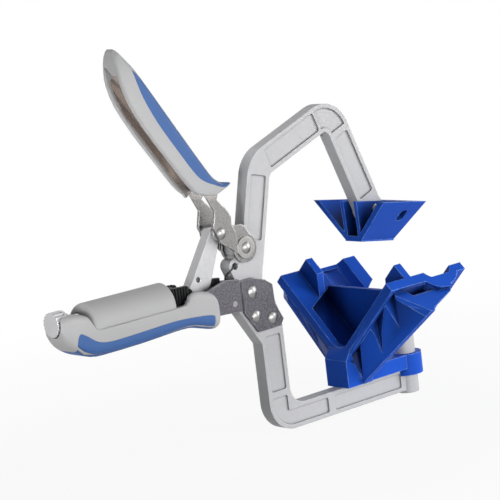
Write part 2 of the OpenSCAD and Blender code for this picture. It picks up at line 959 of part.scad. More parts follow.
module upper_grip_inlay() {
    color("royalblue")
        difference() {
            handle_frame()
                difference() {
                    intersection() {
                        grip_body(up_rows);
                        up_inlay_region();
                    }
                    up_inlay_core();
                }
            channel_room();
        }
}

washer_t = 0.8;

module handle_pin() {
    color("gainsboro")
        rivet(handle_p, pin_r, cheek_in + sheet_t + washer_t, 3.6, 1.3);
}

module handle_washers() {
    color("white")
        for (side = [-1, 1])
            translate([0, side * (cheek_in + sheet_t + washer_t / 2), 0])
                difference() {
                    cross_pin(handle_p, 6.6, washer_t);
                    cross_pin(handle_p, pin_r + 0.02, 2 * washer_t);
                }
}

module link_pin() {
    color("gainsboro")
        rivet(link_p, pin_r, neck_in + sheet_t, 3.6, 1.3);
}

module link_spacers() {
    gap = neck_in - link_t / 2 - 2 * run;
    color("gray")
        for (side = [-1, 1])
            translate([0, side * (link_t / 2 + 2 * run + gap / 2), 0])
                difference() {
                    cross_pin(link_p, 4.2, gap);
                    cross_pin(link_p, pin_r + 0.02, 2 * gap);
                }
}

// Toggle link from the handle to the slide, with the foot pin pressed into its end

module toggle_link() {
    color("darkgray")
        difference() {
            plate(link_t) {
                spot(link_p, 5);
                spot(foot_p, 4.2);
                polygon([[-21.6, 133.8], [-43.8, 101], [-44, 97.3], [-37, 93], [-26.4, 102.5], [-16.6, 125.6],
                    [-13, 129.5]]);
            }
            cross_pin(link_p, pin_r + run, 20);
            cross_pin(foot_p, 2.02, 20);
            cross_pin([-35, 107.5], 1.6, 20);
        }
}

module foot_pin() {
    color("gainsboro")
        cross_pin(foot_p, 2, 15);
}

lower_arm();
body_channel();
arm_rivets();
main_pivot_pin();
lower_grip();
lower_grip_inlay();
mechanism_cover();
slide_block();
spring_anchor_pin();
return_spring();
corner_block();
pressure_screw();
pressure_knob();
pressure_nut();
pressure_spring();
upper_arm();
wedge_pin();
wedge_head();
handle_channel();
upper_grip();
upper_grip_inlay();
handle_pin();
handle_washers();
link_pin();
link_spacers();
toggle_link();
foot_pin();
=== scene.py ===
"""Dresses the corner clamp: finishes, wound springs, a threaded screw, carved mouldings, a studio and a camera."""

import json
import logging
import math
from dataclasses import dataclass
from enum import Enum
from typing import Iterable, Sequence

import bmesh
import bpy
from mathutils import Matrix, Vector


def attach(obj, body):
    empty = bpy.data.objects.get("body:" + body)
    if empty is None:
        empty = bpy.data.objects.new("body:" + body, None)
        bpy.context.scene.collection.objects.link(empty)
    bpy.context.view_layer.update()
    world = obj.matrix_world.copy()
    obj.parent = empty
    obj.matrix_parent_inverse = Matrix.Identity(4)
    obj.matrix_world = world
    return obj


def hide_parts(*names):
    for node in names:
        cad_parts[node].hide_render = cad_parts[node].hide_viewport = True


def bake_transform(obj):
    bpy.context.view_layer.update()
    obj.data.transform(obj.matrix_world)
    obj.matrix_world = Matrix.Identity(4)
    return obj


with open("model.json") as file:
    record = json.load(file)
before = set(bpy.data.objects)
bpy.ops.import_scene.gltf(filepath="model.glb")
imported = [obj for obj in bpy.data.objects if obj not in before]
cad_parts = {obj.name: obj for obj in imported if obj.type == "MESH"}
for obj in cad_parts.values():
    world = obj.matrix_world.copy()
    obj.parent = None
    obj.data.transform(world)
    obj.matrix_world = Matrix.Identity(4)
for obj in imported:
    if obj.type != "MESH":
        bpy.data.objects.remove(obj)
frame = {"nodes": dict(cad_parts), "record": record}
log = logging.getLogger("corner_clamp")

MM = 0.001
Colour = tuple[float, float, float]
Point = tuple[float, float, float]
WHITE: Colour = (1.0, 1.0, 1.0)


class Slot(Enum):
    """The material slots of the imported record."""

    CAST_ARM = "cast_arm"
    CHEEK = "cheek_steel"
    PIN = "pin_steel"
    LINK = "link_steel"
    BRIGHT = "bright_steel"
    GRIP_GREY = "grip_grey"
    GRIP_BLUE = "grip_blue"
    BLOCK_BLUE = "block_blue"
    BLACK = "black_plastic"
    SPRING = "spring_steel"
    SCREW = "screw_steel"


class Body(Enum):
    """The rigid bodies that pieces ride on."""

    FRAME = "frame"
    JAW = "jaw"
    KNOB = "knob"


# Shader graphs


class Graph:
    """Adds nodes to one shader tree and joins them."""

    def __init__(self, tree: bpy.types.NodeTree) -> None:
        """Keeps the tree and empties it.

        Args:
            tree: the node tree of a material, a world or a group.
        """
        self.tree = tree
        tree.nodes.clear()

    def add(self, kind: str, settings: dict[str, object] | None = None, **inputs: object) -> bpy.types.Node:
        """Adds one node.

        Args:
            kind: the node's type name.
            settings: properties of the node itself.
            inputs: input sockets by name, with spaces written as underscores; a socket is linked, a value is set.

        Returns:
            The new node.
        """
        node = self.tree.nodes.new(kind)
        for name, value in (settings or {}).items():
            setattr(node, name, value)
        for name, value in inputs.items():
            socket = next(s for s in node.inputs if s.name == name.replace("_", " ") and s.enabled)
            self.feed(socket, value)
        return node

    def feed(self, socket: bpy.types.NodeSocket, value: object) -> None:
        """Links a socket to another, or sets its value.

        Args:
            socket: the input to feed.
            value: an output socket, or a plain value.
        """
        if isinstance(value, bpy.types.NodeSocket):
            self.tree.links.new(value, socket)
        else:
            socket.default_value = value

    def math(self, operation: str, a: object, b: object = 0.0, clamp: bool = False) -> bpy.types.NodeSocket:
        """Adds a Math node.

        Args:
            operation: the node's operation.
            a: first value or socket.
            b: second value or socket.
            clamp: whether the result is kept between 0 and 1.

        Returns:
            The result's socket.
        """
        node = self.add("ShaderNodeMath", {"operation": operation, "use_clamp": clamp})
        self.feed(node.inputs[0], a)
        self.feed(node.inputs[1], b)
        return node.outputs[0]

    def blend(self, share: object, a: object, b: object, mode: str = "MIX") -> bpy.types.NodeSocket:
        """Mixes two colours.

        Args:
            share: how much of b shows, as a value or socket.
            a: first colour or socket.
            b: second colour or socket.
            mode: the blend type.

        Returns:
            The mixed colour's socket.
        """
        node = self.add("ShaderNodeMix", {"data_type": "RGBA", "blend_type": mode})
        self.feed(node.inputs[0], share)
        self.feed(node.inputs[6], a)
        self.feed(node.inputs[7], b)
        return node.outputs[2]

    def spread(self, value: bpy.types.NodeSocket, low: object, high: object) -> bpy.types.NodeSocket:
        """Maps a mask from 0..1 to low..high.

        Args:
            value: the mask's socket.
            low: result at 0.
            high: result at 1.

        Returns:
            The result's socket.
        """
        node = self.add("ShaderNodeMapRange", None, Value=value)
        self.feed(node.inputs["To Min"], low)
        self.feed(node.inputs["To Max"], high)
        return node.outputs[0]


# A group's graph, its tree, and its input and output nodes
GroupParts = tuple[Graph, bpy.types.NodeTree, bpy.types.Node, bpy.types.Node]


def opaque(colour: Colour) -> tuple[float, float, float, float]:
    """A colour with full alpha."""
    return (*colour, 1.0)


class Effects:
    """The node groups that several finishes share.

    Attributes:
        COARSE_GRAIN: scale of the coarse grain against that of the fine one.
        GRAIN_SPREAD: mask at the noise's 0 and 1, which brings its middle range to 0..1.
        EDGE_RADIUS: radius of rounded edges, in metres.
        EDGE_GAIN: how quickly a turned normal counts as an edge.
        EDGE_BREAK: strength of the edge mask at the noise's 0 and 1.
        OPEN_SLACK: shut share of the surroundings that still counts as open.
    """

    COARSE_GRAIN = 0.23
    GRAIN_SPREAD = (-0.6, 1.6)
    EDGE_RADIUS = 0.0008
    EDGE_GAIN = 11.0
    EDGE_BREAK = (-0.5, 2.0)
    OPEN_SLACK = 0.08

    def __init__(self) -> None:
        """Builds each group once."""
        self.grain = self._grain()
        self.drift = self._drift()
        self.edges = self._edges()
        self.painted_shade = self._painted_shade()

    @staticmethod
    def _group(name: str, ins: dict[str, tuple[str, object]], outs: dict[str, str]) -> GroupParts:
        """Makes an empty group with named sockets.

        Args:
            name: the group's name.
            ins: input name to socket type and default value.
            outs: output name to socket type.

        Returns:
            The graph, its tree, and the group's input and output nodes.
        """
        tree = bpy.data.node_groups.new(name, "ShaderNodeTree")
        for label, (kind, value) in ins.items():
            tree.interface.new_socket(label, in_out="INPUT", socket_type=kind).default_value = value
        for label, kind in outs.items():
            tree.interface.new_socket(label, in_out="OUTPUT", socket_type=kind)
        graph = Graph(tree)
        return graph, tree, graph.add("NodeGroupInput"), graph.add("NodeGroupOutput")

    def _grain(self) -> bpy.types.NodeTree:
        """Fine surface grain: a mask and a height, from two noises.

        Returns:
            The group's tree.
        """
        graph, tree, ins, outs = self._group(
            "surface_grain", {"Scale": ("NodeSocketFloat", 1500.0), "Coarse": ("NodeSocketFloat", 0.3)},
            {"Mask": "NodeSocketFloat", "Height": "NodeSocketFloat"})
        place = graph.add("ShaderNodeTexCoord").outputs["Object"]
        fine = graph.add("ShaderNodeTexNoise", None, Vector=place, Scale=ins.outputs["Scale"], Detail=3.0)
        wide_scale = graph.math("MULTIPLY", ins.outputs["Scale"], self.COARSE_GRAIN)
        wide = graph.add("ShaderNodeTexNoise", None, Vector=place, Scale=wide_scale, Detail=2.0)
        mixed = graph.add("ShaderNodeMix", {"data_type": "FLOAT"})
        graph.feed(mixed.inputs[0], ins.outputs["Coarse"])
        graph.feed(mixed.inputs[2], fine.outputs[0])
        graph.feed(mixed.inputs[3], wide.outputs[0])
        graph.feed(outs.inputs["Height"], mixed.outputs[0])
        graph.feed(outs.inputs["Mask"], graph.spread(mixed.outputs[0], *self.GRAIN_SPREAD))
        return tree

    def _drift(self) -> bpy.types.NodeTree:
        """Slow drift of a colour's brightness over the surface.

        Returns:
            The group's tree.
        """
        graph, tree, ins, outs = self._group(
            "tone_drift", {"Color": ("NodeSocketColor", (0.8, 0.8, 0.8, 1.0)), "Amount": ("NodeSocketFloat", 0.08),
                           "Scale": ("NodeSocketFloat", 60.0)},
            {"Color": "NodeSocketColor"})
        place = graph.add("ShaderNodeTexCoord").outputs["Object"]
        noise = graph.add("ShaderNodeTexNoise", None, Vector=place, Scale=ins.outputs["Scale"], Detail=4.0,
                          Roughness=0.6)
        low = graph.math("SUBTRACT", 1.0, ins.outputs["Amount"])
        high = graph.math("ADD", 1.0, ins.outputs["Amount"])
        gain = graph.spread(noise.outputs[0], low, high)
        scaled = graph.add("ShaderNodeVectorMath", {"operation": "SCALE"})
        graph.feed(scaled.inputs[0], ins.outputs["Color"])
        graph.feed(scaled.inputs["Scale"], gain)
        graph.feed(outs.inputs["Color"], scaled.outputs[0])
        return tree

    def _edges(self) -> bpy.types.NodeTree:
        """Rounded edges: the rounded normal, and a broken mask along the edges.

        Returns:
            The group's tree.
        """
        graph, tree, ins, outs = self._group(
            "rounded_edges", {"Break": ("NodeSocketFloat", 260.0)},
            {"Normal": "NodeSocketVector", "Edge": "NodeSocketFloat"})
        rounded = graph.add("ShaderNodeBevel", {"samples": 4}, Radius=self.EDGE_RADIUS).outputs[0]
        plain = graph.add("ShaderNodeNewGeometry").outputs["Normal"]
        dot = graph.add("ShaderNodeVectorMath", {"operation": "DOT_PRODUCT"})
        graph.feed(dot.inputs[0], rounded)
        graph.feed(dot.inputs[1], plain)
        turned = graph.math("MULTIPLY", graph.math("SUBTRACT", 1.0, dot.outputs["Value"]), self.EDGE_GAIN, True)
        place = graph.add("ShaderNodeTexCoord").outputs["Object"]
        noise = graph.add("ShaderNodeTexNoise", None, Vector=place, Scale=ins.outputs["Break"], Detail=5.0)
        broken = graph.spread(noise.outputs[0], *self.EDGE_BREAK)
        graph.feed(outs.inputs["Normal"], rounded)
        graph.feed(outs.inputs["Edge"], graph.math("MULTIPLY", turned, broken, True))
        return tree

    def _painted_shade(self) -> bpy.types.NodeTree:
        """Mask of inside corners, where the colour is darkened as painted shade.

        Returns:
            The group's tree.
        """
        graph, tree, ins, outs = self._group(
            "painted_corner_shade", {"Distance": ("NodeSocketFloat", 0.0015), "Gain": ("NodeSocketFloat", 2.0)},
            {"Mask": "NodeSocketFloat"})
        open_share = graph.add("ShaderNodeAmbientOcclusion", {"samples": 6, "only_local": True},
                               Distance=ins.outputs["Distance"]).outputs["AO"]
        shut = graph.math("SUBTRACT", graph.math("SUBTRACT", 1.0, open_share), self.OPEN_SLACK, True)
        graph.feed(outs.inputs["Mask"], graph.math("MULTIPLY", shut, ins.outputs["Gain"], True))
        return tree


# Finishes

SHADE_TONE = 0.12  # brightness of a colour deep in an inside corner, under painted shade
GRIP_START = 0.152  # height at which the handle channel enters its grip, in metres
GRIP_FADE = 100.0  # per metre, how quickly the channel's finish changes there
INNER_ROUGH = (0.09, 0.13)  # roughness of the polished part inside the grip


@dataclass(frozen=True)
class Finish:
    """A surface finish: a colour that drifts, a roughness that follows a grain, edges lightened by wear and painted
    highlight, painted shade in corners.

    Attributes:
        label: the material's name.
        colour: base colour, linear.
        metallic: how metallic it is.
        rough: roughness at the grain's low and high places.
        drift: brightness drift, as a share.
        drift_scale: how fine the drift is, per metre.
        grain_scale: how fine the grain is, per metre.
        grain_depth: bump distance of the grain, in metres.
        edge_wear_highlight_colour: colour on edges, partly wear and partly a painted highlight.
        edge_share: how strongly the edges show it.
        shade: how much of the colour inside corners lose to painted shade.
        specular: level of the plain reflection.
        reach: how far the painted shade of inside corners reaches over what is near them, in metres.
        inner: colour of the part that lies inside the upper grip, if it has one; it is brighter and warmer as a painted
            reflection.
    """

    label: str
    colour: Colour
    metallic: float
    rough: tuple[float, float]
    drift: float
    drift_scale: float
    grain_scale: float
    grain_depth: float
    edge_wear_highlight_colour: Colour
    edge_share: float
    shade: float = 0.5
    specular: float = 0.5
    reach: float = 0.0015
    inner: Colour | None = None

    def build(self, effects: Effects) -> bpy.types.Material:
        """Makes the material.

        Args:
            effects: the shared node groups.

        Returns:
            The new material.
        """
        material = bpy.data.materials.new(self.label)
        material.use_nodes = True
        graph = Graph(material.node_tree)
        drift = graph.add("ShaderNodeGroup", {"node_tree": effects.drift}, Color=opaque(self.colour),
                          Amount=self.drift, Scale=self.drift_scale)
        edges = graph.add("ShaderNodeGroup", {"node_tree": effects.edges})
        grain = graph.add("ShaderNodeGroup", {"node_tree": effects.grain}, Scale=self.grain_scale)
        corners = graph.add("ShaderNodeGroup", {"node_tree": effects.painted_shade}, Distance=self.reach)
        # Edges take a lighter colour, partly wear and partly a painted highlight; inside corners then darken as painted
        # shade.
        share = graph.math("MULTIPLY", edges.outputs["Edge"], self.edge_share)
        worn_and_highlit = graph.blend(share, drift.outputs["Color"], opaque(self.edge_wear_highlight_colour))
        shut = graph.math("MULTIPLY", corners.outputs["Mask"], self.shade)
        colour = graph.blend(shut, worn_and_highlit, opaque(tuple(SHADE_TONE * part for part in self.colour)))
        low, high = self.rough
        # Inside the upper grip the colour turns brighter and warmer as a painted reflection, and the roughness drops.
        if self.inner:
            height = graph.add("ShaderNodeSeparateXYZ")
            graph.feed(height.inputs[0], graph.add("ShaderNodeTexCoord").outputs["Object"])
            above = graph.math("SUBTRACT", height.outputs[2], GRIP_START)
            inside = graph.math("MULTIPLY", above, GRIP_FADE, True)
            colour = graph.blend(inside, colour, opaque(self.inner))
            low, high = (graph.spread(inside, out, within) for out, within in zip(self.rough, INNER_ROUGH))
        bump = graph.add("ShaderNodeBump", None, Strength=1.0, Distance=self.grain_depth,
                         Height=grain.outputs["Height"], Normal=edges.outputs["Normal"])
        shader = graph.add("ShaderNodeBsdfPrincipled", None, Base_Color=colour, Metallic=self.metallic,
                           Roughness=graph.spread(grain.outputs["Mask"], low, high), Normal=bump.outputs[0],
                           Specular_IOR_Level=self.specular)
        graph.add("ShaderNodeOutputMaterial", None, Surface=shader.outputs[0])
        return material


FINISHES: dict[Slot, Finish] = {
    Slot.CAST_ARM: Finish(
        label="cast_alloy", colour=(0.405, 0.405, 0.42), metallic=0.15, rough=(0.45, 0.62), drift=0.07,
        drift_scale=260.0, grain_scale=1500.0, grain_depth=0.00006, edge_wear_highlight_colour=(0.74, 0.74, 0.75), edge_share=0.5,
        shade=0.85),
    Slot.CHEEK: Finish(
        label="zinc_plate", colour=(0.10, 0.097, 0.11), metallic=0.8, rough=(0.26, 0.46), drift=1.3,
        drift_scale=900.0, grain_scale=900.0, grain_depth=0.00003, edge_wear_highlight_colour=(0.55, 0.55, 0.56), edge_share=0.6,
        shade=0.7),
    Slot.PIN: Finish(
        label="bright_plate", colour=(0.27, 0.268, 0.262), metallic=0.9, rough=(0.26, 0.40), drift=0.08,
        drift_scale=300.0, grain_scale=1200.0, grain_depth=0.00002, edge_wear_highlight_colour=(0.78, 0.78, 0.78), edge_share=0.4,
        shade=0.8),
    Slot.LINK: Finish(
        label="link_plate", colour=(0.42, 0.42, 0.43), metallic=0.6, rough=(0.30, 0.45), drift=0.14,
        drift_scale=400.0, grain_scale=900.0, grain_depth=0.00002, edge_wear_highlight_colour=(0.75, 0.75, 0.76), edge_share=0.5,
        shade=0.7),
    # Chrome: its inner colour is a painted reflection inside the upper grip.
    Slot.BRIGHT: Finish(
        label="chromed_sheet", colour=(0.21, 0.205, 0.203), metallic=1.0, rough=(0.24, 0.34), drift=0.5,
        drift_scale=1500.0, grain_scale=900.0, grain_depth=0.000002, edge_wear_highlight_colour=(0.85, 0.85, 0.85), edge_share=0.9,
        shade=0.2, inner=(0.74, 0.70, 0.675)),
    Slot.GRIP_GREY: Finish(
        label="grey_moulding", colour=(0.385, 0.385, 0.39), metallic=0.0, rough=(0.42, 0.58), drift=0.04,
        drift_scale=70.0, grain_scale=2200.0, grain_depth=0.00002, edge_wear_highlight_colour=(0.52, 0.52, 0.525), edge_share=0.35,
        shade=0.5, specular=0.35),
    Slot.GRIP_BLUE: Finish(
        label="soft_blue", colour=(0.042, 0.11, 0.30), metallic=0.0, rough=(0.50, 0.66), drift=0.06, drift_scale=80.0,
        grain_scale=2600.0, grain_depth=0.00003, edge_wear_highlight_colour=(0.085, 0.16, 0.37), edge_share=0.4, shade=0.5,
        specular=0.3),
    # Blue block: its light-blue edge colour is a painted highlight, and its wide reach and strong shade paint shade
    # into the V and the notches.
    Slot.BLOCK_BLUE: Finish(
        label="deep_blue_moulding", colour=(0.012, 0.08, 0.49), metallic=0.0, rough=(0.34, 0.48), drift=0.10,
        drift_scale=60.0, grain_scale=1400.0, grain_depth=0.00003, edge_wear_highlight_colour=(0.24, 0.42, 0.98), edge_share=1.0,
        shade=0.93, specular=0.06, reach=0.02),
    Slot.BLACK: Finish(
        label="black_moulding", colour=(0.006, 0.006, 0.007), metallic=0.0, rough=(0.30, 0.45), drift=0.15,
        drift_scale=120.0, grain_scale=1800.0, grain_depth=0.00002, edge_wear_highlight_colour=(0.03, 0.03, 0.034), edge_share=0.4,
        shade=0.5, specular=0.2),
    Slot.SPRING: Finish(
        label="spring_wire", colour=(0.03, 0.03, 0.032), metallic=0.8, rough=(0.28, 0.42), drift=0.15,
        drift_scale=200.0, grain_scale=1500.0, grain_depth=0.00001, edge_wear_highlight_colour=(0.2, 0.2, 0.21), edge_share=0.3,
        shade=0.4),
    Slot.SCREW: Finish(
        label="screw_plate", colour=(0.52, 0.52, 0.53), metallic=0.9, rough=(0.24, 0.38), drift=0.08,
        drift_scale=150.0, grain_scale=1200.0, grain_depth=0.00002, edge_wear_highlight_colour=(0.75, 0.75, 0.75), edge_share=0.4,
        shade=0.8),
}


class Wardrobe:
    """The built materials, one for each slot."""

    def __init__(self) -> None:
        """Builds every finish."""
        effects = Effects()
        self.materials = {slot: finish.build(effects) for slot, finish in FINISHES.items()}

    def dress(self, piece: bpy.types.Object, slot: Slot) -> None:
        """Gives a piece one finish.

        Args:
            piece: the object to dress.
            slot: the record's slot whose finish it takes.
        """
        piece.data.materials.clear()
        piece.data.materials.append(self.materials[slot])

    def dress_solids(self) -> None:
        """Gives each CAD solid the finish of its own slot."""
        for row in frame["record"]["subparts"]:
            self.dress(frame["nodes"][row["node"]], Slot(row["material_slot"]))
            log.info("dressed %s", row["node"])


# Meshes


def tube_faces(rings: int, sides: int) -> list[tuple[int, ...]]:
    """Faces of a tube with flat ends, whose points are listed ring by ring.

    Args:
        rings: number of rings.
        sides: points on each ring.

    Returns:
        The faces as point numbers.
    """
    faces: list[tuple[int, ...]] = [
        (i * sides + k, i * sides + (k + 1) % sides, (i + 1) * sides + (k + 1) % sides, (i + 1) * sides + k)
        for i in range(rings - 1) for k in range(sides)]
    faces.append(tuple(reversed(range(sides))))
    faces.append(tuple((rings - 1) * sides + k for k in range(sides)))
    return faces


def swept_mesh(name: str, path: Sequence[Vector], radius: float, sides: int = 12) -> bpy.types.Mesh:
    """A round bar along a path, with flat ends.

    Args:
        name: the mesh's name.
        path: centre line, in metres.
        radius: radius of the bar.
        sides: points round the bar.

    Returns:
        The new mesh.
    """
    points: list[Vector] = []
    side = (path[1] - path[0]).orthogonal().normalized()
    for i, here in enumerate(path):
        way = (path[min(i + 1, len(path) - 1)] - path[max(i - 1, 0)]).normalized()
        side = (side - way * side.dot(way)).normalized()
        up = way.cross(side)
        for k in range(sides):
            turn = math.tau * k / sides
            points.append(here + radius * (math.cos(turn) * side + math.sin(turn) * up))
    mesh = bpy.data.meshes.new(name)
    mesh.from_pydata(points, [], tube_faces(len(path), sides))
    mesh.shade_smooth()
    return mesh


def placed(name: str, mesh: bpy.types.Mesh) -> bpy.types.Object:
    """Links a mesh into the scene as an object.

    Args:
        name: the object's name.
        mesh: its mesh.

    Returns:
        The new object.
    """
    piece = bpy.data.objects.new(name, mesh)
    bpy.context.scene.collection.objects.link(piece)
    return piece


def softened(points: Sequence[Vector], passes: int = 3) -> list[Vector]:
    """A bent line with its corners cut, ends kept.

    Args:
        points: the line's corners.
        passes: how often the corners are cut.

    Returns:
        The points of the softer line.
    """
    line = list(points)
    for _ in range(passes):
        inner = [a.lerp(b, share) for a, b in zip(line, line[1:]) for share in (0.25, 0.75)]
        line = [line[0], *inner, line[-1]]
    return line


@dataclass
class CoilSpring:
    """A wound wire spring between two points, all in millimetres.

    Attributes:
        name: the piece's name.
        node: the CAD node it stands for.
        start: one end of the coil's axis.
        finish: the other end.
        radius: radius of the coil's centre line.
        wire: radius of the wire.
        turns: number of turns.
        before: corners of the wire that leads into the coil.
        after: corners of the wire that leads out of it.
    """

    name: str
    node: str
    start: Point
    finish: Point
    radius: float
    wire: float
    turns: float
    before: tuple[Point, ...] = ()
    after: tuple[Point, ...] = ()

    def path(self) -> list[Vector]:
        """The wire's centre line.

        Returns:
            Its points, in metres.
        """
        start, finish = Vector(self.start), Vector(self.finish)
        way = (finish - start).normalized()
        side = way.orthogonal().normalized()
        up = way.cross(side)
        steps_per_turn = 24
        steps = round(self.turns * steps_per_turn)
        coil: list[Vector] = []
        for i in range(steps + 1):
            turn = math.tau * self.turns * i / steps
            spoke = math.cos(turn) * side + math.sin(turn) * up
            coil.append(start.lerp(finish, i / steps) + self.radius * spoke)
        head = softened([Vector(p) for p in self.before] + coil[:1])[:-1] if self.before else []
        tail = softened(coil[-1:] + [Vector(p) for p in self.after])[1:] if self.after else []
        return [p * MM for p in head + coil + tail]

    def build(self, wardrobe: Wardrobe) -> bpy.types.Object:
        """Makes the spring in place of its solid.

        Args:
            wardrobe: the built materials.

        Returns:
            The new piece.
        """
        piece = placed(self.name, swept_mesh(self.name, self.path(), self.wire * MM))
        wardrobe.dress(piece, Slot.SPRING)
        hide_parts(self.node)
        log.info("built %s", self.name)
        return piece


@dataclass
class ThreadedRod:
    """A rod along X with a rolled thread, in millimetres.

    Attributes:
        name: the piece's name.
        node: the CAD node it stands for.
        ends: where the rod starts and stops along X.
        height: height of its axis.
        crest: radius over the thread.
        root: radius at the bottom of the thread.
        pitch: length of one turn.
    """

    name: str
    node: str
    ends: tuple[float, float]
    height: float
    crest: float
    root: float
    pitch: float

    def build(self, wardrobe: Wardrobe) -> bpy.types.Object:
        """Makes the rod in place of its solid.

        Args:
            wardrobe: the built materials.

        Returns:
            The new piece.
        """
        sides, rings_per_turn = 20, 6
        length = self.ends[1] - self.ends[0]
        rows = round(length / self.pitch * rings_per_turn)
        points: list[Vector] = []
        for i in range(rows + 1):
            x = self.ends[0] + length * i / rows
            for k in range(sides):
                phase = (x / self.pitch - k / sides) % 1.0
                radius = self.root + (self.crest - self.root) * (1.0 - abs(2.0 * phase - 1.0))
                turn = math.tau * k / sides
                points.append(Vector((x, radius * math.cos(turn), self.height + radius * math.sin(turn))) * MM)
        mesh = bpy.data.meshes.new(self.name)
        mesh.from_pydata(points, [], tube_faces(rows + 1, sides))
        piece = placed(self.name, mesh)
        wardrobe.dress(piece, Slot.SCREW)
        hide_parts(self.node)
        log.info("built %s", self.name)
        return piece


# Carved pieces


class Carve(Enum):
    """What a tool does to a solid."""

    JOIN = "UNION"
    CUT = "DIFFERENCE"


def closed_solid(name: str, points: Sequence[Vector], faces: Sequence[tuple[int, ...]]) -> bpy.types.Object:
    """A closed solid whose faces all look outwards.

    Args:
        name: the object's name.
        points: its corners, in metres.
        faces: its faces, in any order of turning.

    Returns:
        The new object.
    """
    mesh = bpy.data.meshes.new(name)
    mesh.from_pydata(points, [], faces)
    work = bmesh.new()
    work.from_mesh(mesh)
    bmesh.ops.recalc_face_normals(work, faces=work.faces)
    work.to_mesh(mesh)
    work.free()
    return placed(name, mesh)


def prism(name: str, rings: Sequence[Vector]) -> bpy.types.Object:
    """A solid between two rings of points.

    Args:
        name: the object's name.
        rings: the points of one ring, then those of the other, in metres.

    Returns:
        The new object.
    """
    n = len(rings) // 2
    sides = [(k, (k + 1) % n, n + (k + 1) % n, n + k) for k in range(n)]
    return closed_solid(name, rings, [*sides, tuple(reversed(range(n))), tuple(range(n, 2 * n))])


def cuboid(name: str, low: Point, high: Point) -> bpy.types.Object:
    """A box between two corners.

    Args:
        name: the object's name.
        low: its lowest corner, in millimetres.
        high: its highest corner.

    Returns:
        The new object.
    """
    points = [Vector((x, y, z)) * MM for x in (low[0], high[0]) for y in (low[1], high[1]) for z in (low[2], high[2])]
    faces = [(0, 1, 3, 2), (4, 5, 7, 6), (0, 1, 5, 4), (2, 3, 7, 6), (0, 2, 6, 4), (1, 3, 7, 5)]
    return closed_solid(name, points, faces)


def carved(name: str, node: str, tools: Sequence[tuple[Carve, bpy.types.Object]], crease: float) -> bpy.types.Object:
    """A copy of a CAD solid with tools joined to it or cut from it; the tools are used up.

    Args:
        name: the new object's name.
        node: the CAD node that is copied.
        tools: each step's action and tool, in order.
        crease: angle between faces, in degrees, above which their edge stays sharp.

    Returns:
        The new object, in place of the CAD node.
    """
    source = frame["nodes"][node]
    blank = placed("blank", source.data.copy())
    blank.matrix_world = source.matrix_world
    for action, tool in tools:
        step = blank.modifiers.new(tool.name, "BOOLEAN")
        step.operation, step.solver, step.object = action.value, "EXACT", tool
    bpy.context.view_layer.update()
    mesh = bpy.data.meshes.new_from_object(blank.evaluated_get(bpy.context.evaluated_depsgraph_get()))
    mesh.transform(source.matrix_world)
    for spent in [blank, *(tool for _, tool in tools)]:
        bpy.data.objects.remove(spent)
    mesh.shade_smooth()
    mesh.set_sharp_from_angle(angle=math.radians(crease))
    piece = placed(name, mesh)
    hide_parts(node)
    log.info("built %s with %d faces", name, len(mesh.polygons))
    return piece


@dataclass
class GroovedSlide:
    """The slide block with grooves moulded across its top and sides, in millimetres.

    Attributes:
        name: the piece's name.
        node: the CAD node it stands for.
        places: where each groove lies along X, with the height of the top there.
        width: width of a groove.
        depth: depth of a groove.
        half: half the block's width.
        foot: height at which the grooves of the sides start.
        side_clear: how far the cutters reach out of the sides.
        top_clear: how far the cutters reach out of the top.
        crease: angle, in degrees, above which an edge stays sharp.
    """

    name: str
    node: str
    places: tuple[tuple[float, float], ...]
    width: float
    depth: float
    half: float
    foot: float
    side_clear: float = 1.0
    top_clear: float = 5.0
    crease: float = 30.0

    def build(self, wardrobe: Wardrobe) -> bpy.types.Object:
        """Makes the block in place of its solid.

        Args:
            wardrobe: the built materials.

        Returns:
            The new piece.
        """
        tools: list[tuple[Carve, bpy.types.Object]] = []
        out, floor = self.half + self.side_clear, self.half - self.depth
        for x, top in self.places:
            left, right, roof = x - self.width / 2, x + self.width / 2, top + self.top_clear
            for low, high in (((left, -out, top - self.depth), (right, out, roof)),
                              ((left, -out, self.foot), (right, -floor, roof)),
                              ((left, floor, self.foot), (right, out, roof))):
                tools.append((Carve.CUT, cuboid("groove_cutter", low, high)))
        piece = carved(self.name, self.node, tools, self.crease)
        wardrobe.dress(piece, Slot.BLACK)
        return piece


# Where each groove of the slide lies along X, with the height of the top there
GROOVES = ((-56.6, 107.0), (-54.5, 106.9), (-52.4, 106.8), (-50.3, 106.7), (-48.2, 106.65), (-45.6, 105.2),
           (-43.2, 102.8))


# Corner block, in millimetres; x, s and o are a wing's own directions (see on_wing)

BLOCK_LEFT = 73.5  # X of the block's left end
VEE_HEIGHT = 37.2  # height of the bottom of the V
WING_FOOT, WING_TOP = -8.0, 67.9  # s of the ends of a flank
RIM = (3.0, 6.5)  # x and o of the flank's rim
CREST_FOOT, CREST_TIP = (6.8, 21.2), (17.0, 27.5)  # x and o of the crest's ends


class Wing(Enum):
    """The block's two wings, each with the sign of its Y."""

    NEAR = -1
    FAR = 1


def on_wing(wing: Wing, x: float, s: float, o: float) -> Vector:
    """A point given in a wing's own millimetres.

    Args:
        wing: the wing.
        x: along the block from its left end.
        s: along the wing from the bottom of the V.
        o: outwards from the wing's face.

    Returns:
        The point in the object's frame, in metres.
    """
    slant = math.sqrt(0.5)
    return Vector((BLOCK_LEFT + x, wing.value * (s + o) * slant, VEE_HEIGHT + (s - o) * slant)) * MM


def crest(s: float) -> tuple[float, float]:
    """Where the flank's crest lies at s along the wing, as x and o.

    Args:
        s: along the wing from the bottom of the V.

    Returns:
        The crest's x and o.
    """
    share = (s - WING_FOOT) / (WING_TOP - WING_FOOT)
    x, o = (foot + share * (tip - foot) for foot, tip in zip(CREST_FOOT, CREST_TIP))
    return x, o


